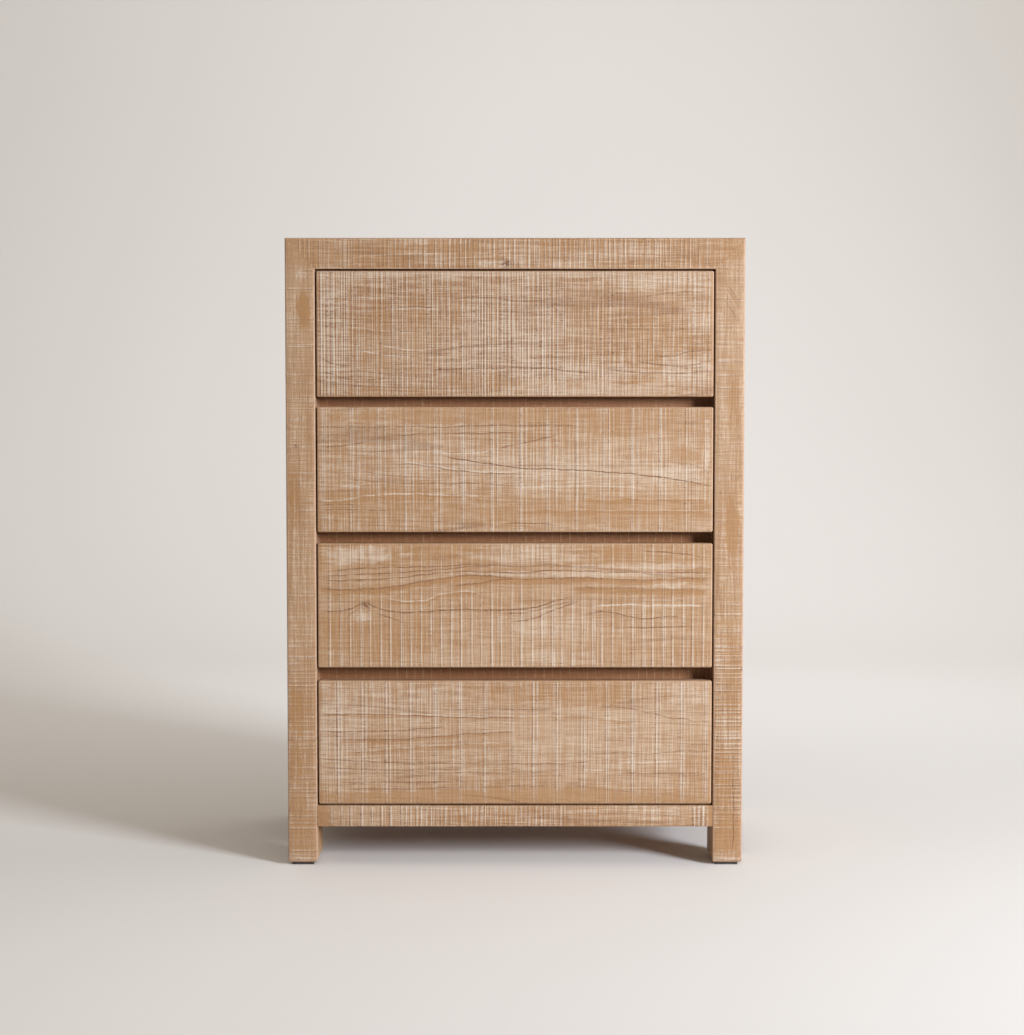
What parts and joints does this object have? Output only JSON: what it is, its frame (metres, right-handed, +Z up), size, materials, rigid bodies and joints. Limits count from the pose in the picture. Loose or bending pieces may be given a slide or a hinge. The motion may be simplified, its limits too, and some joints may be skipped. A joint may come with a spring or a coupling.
{
  "type": "tallboy",
  "caption": "Tall chest of handleless inset drawers in rough-sawn whitewashed wood, pulled open by recessed finger gaps between the fronts.",
  "frame": {"origin": "on the floor, under the middle of the case", "axes": "+X to the viewer's right as seen from the front, +Y towards the back, +Z up; the drawer fronts face -Y"},
  "size_m": [0.8, 0.45, 1.1],
  "materials": {
    "whitewashed_wood": "rough-sawn, whitewashed, matt",
    "drawer_wood": "planed, clear matt",
    "panel_board": "sanded plywood",
    "dowel_wood": "turned, unfinished",
    "runner_steel": "zinc plated",
    "screw_steel": "zinc plated",
    "glide_plastic": "matt"
  },
  "bodies": {
    "case": {"left_front_post": "whitewashed_wood", "right_front_post": "whitewashed_wood", "left_rear_post": "whitewashed_wood", "right_rear_post": "whitewashed_wood", "top_front_rail": "whitewashed_wood", "top_rear_rail": "whitewashed_wood", "top_panel": "whitewashed_wood", "left_side_panel": "whitewashed_wood", "right_side_panel": "whitewashed_wood", "left_side_rail": "whitewashed_wood", "right_side_rail": "whitewashed_wood", "front_bottom_rail": "whitewashed_wood", "rear_bottom_rail": "whitewashed_wood", "bottom_panel": "panel_board", "back_panel": "panel_board", "divider_rail_1": "whitewashed_wood", "divider_rail_2": "whitewashed_wood", "divider_rail_3": "whitewashed_wood", "foot_glides": "glide_plastic", "rail_dowels": "dowel_wood", "mitre_splines": "dowel_wood", "left_outer_runners": "runner_steel", "right_outer_runners": "runner_steel", "runner_screws": "screw_steel"},
    "drawer_1": {"drawer_1_front": "whitewashed_wood", "drawer_1_left_side": "drawer_wood", "drawer_1_right_side": "drawer_wood", "drawer_1_back": "drawer_wood", "drawer_1_bottom": "panel_board", "drawer_1_inner_runners": "runner_steel", "drawer_1_screws": "screw_steel"},
    "drawer_2": {"drawer_2_front": "whitewashed_wood", "drawer_2_left_side": "drawer_wood", "drawer_2_right_side": "drawer_wood", "drawer_2_back": "drawer_wood", "drawer_2_bottom": "panel_board", "drawer_2_inner_runners": "runner_steel", "drawer_2_screws": "screw_steel"},
    "drawer_3": {"drawer_3_front": "whitewashed_wood", "drawer_3_left_side": "drawer_wood", "drawer_3_right_side": "drawer_wood", "drawer_3_back": "drawer_wood", "drawer_3_bottom": "panel_board", "drawer_3_inner_runners": "runner_steel", "drawer_3_screws": "screw_steel"},
    "drawer_4": {"drawer_4_front": "whitewashed_wood", "drawer_4_left_side": "drawer_wood", "drawer_4_right_side": "drawer_wood", "drawer_4_back": "drawer_wood", "drawer_4_bottom": "panel_board", "drawer_4_inner_runners": "runner_steel", "drawer_4_screws": "screw_steel"},
    "runner_1_left": {"runner_1_left_middle": "runner_steel"},
    "runner_1_right": {"runner_1_right_middle": "runner_steel"},
    "runner_2_left": {"runner_2_left_middle": "runner_steel"},
    "runner_2_right": {"runner_2_right_middle": "runner_steel"},
    "runner_3_left": {"runner_3_left_middle": "runner_steel"},
    "runner_3_right": {"runner_3_right_middle": "runner_steel"},
    "runner_4_left": {"runner_4_left_middle": "runner_steel"},
    "runner_4_right": {"runner_4_right_middle": "runner_steel"}
  },
  "joints": [
    {"name": "drawer_1_slide", "type": "slide", "parent": "case", "child": "drawer_1", "axis": [0, -1, 0], "range_m": [0, 0.35]},
    {"name": "drawer_2_slide", "type": "slide", "parent": "case", "child": "drawer_2", "axis": [0, -1, 0], "range_m": [0, 0.35]},
    {"name": "drawer_3_slide", "type": "slide", "parent": "case", "child": "drawer_3", "axis": [0, -1, 0], "range_m": [0, 0.35]},
    {"name": "drawer_4_slide", "type": "slide", "parent": "case", "child": "drawer_4", "axis": [0, -1, 0], "range_m": [0, 0.35]},
    {"name": "runner_1_left_slide", "type": "slide", "parent": "case", "child": "runner_1_left", "axis": [0, -1, 0], "range_m": [0, 0.175]},
    {"name": "runner_1_right_slide", "type": "slide", "parent": "case", "child": "runner_1_right", "axis": [0, -1, 0], "range_m": [0, 0.175]},
    {"name": "runner_2_left_slide", "type": "slide", "parent": "case", "child": "runner_2_left", "axis": [0, -1, 0], "range_m": [0, 0.175]},
    {"name": "runner_2_right_slide", "type": "slide", "parent": "case", "child": "runner_2_right", "axis": [0, -1, 0], "range_m": [0, 0.175]},
    {"name": "runner_3_left_slide", "type": "slide", "parent": "case", "child": "runner_3_left", "axis": [0, -1, 0], "range_m": [0, 0.175]},
    {"name": "runner_3_right_slide", "type": "slide", "parent": "case", "child": "runner_3_right", "axis": [0, -1, 0], "range_m": [0, 0.175]},
    {"name": "runner_4_left_slide", "type": "slide", "parent": "case", "child": "runner_4_left", "axis": [0, -1, 0], "range_m": [0, 0.175]},
    {"name": "runner_4_right_slide", "type": "slide", "parent": "case", "child": "runner_4_right", "axis": [0, -1, 0], "range_m": [0, 0.175]}
  ],
  "couplings": [
    {"joint": "runner_1_left_slide", "follows": "drawer_1_slide", "ratio": 0.5},
    {"joint": "runner_1_right_slide", "follows": "drawer_1_slide", "ratio": 0.5},
    {"joint": "runner_2_left_slide", "follows": "drawer_2_slide", "ratio": 0.5},
    {"joint": "runner_2_right_slide", "follows": "drawer_2_slide", "ratio": 0.5},
    {"joint": "runner_3_left_slide", "follows": "drawer_3_slide", "ratio": 0.5},
    {"joint": "runner_3_right_slide", "follows": "drawer_3_slide", "ratio": 0.5},
    {"joint": "runner_4_left_slide", "follows": "drawer_4_slide", "ratio": 0.5},
    {"joint": "runner_4_right_slide", "follows": "drawer_4_slide", "ratio": 0.5}
  ]
}
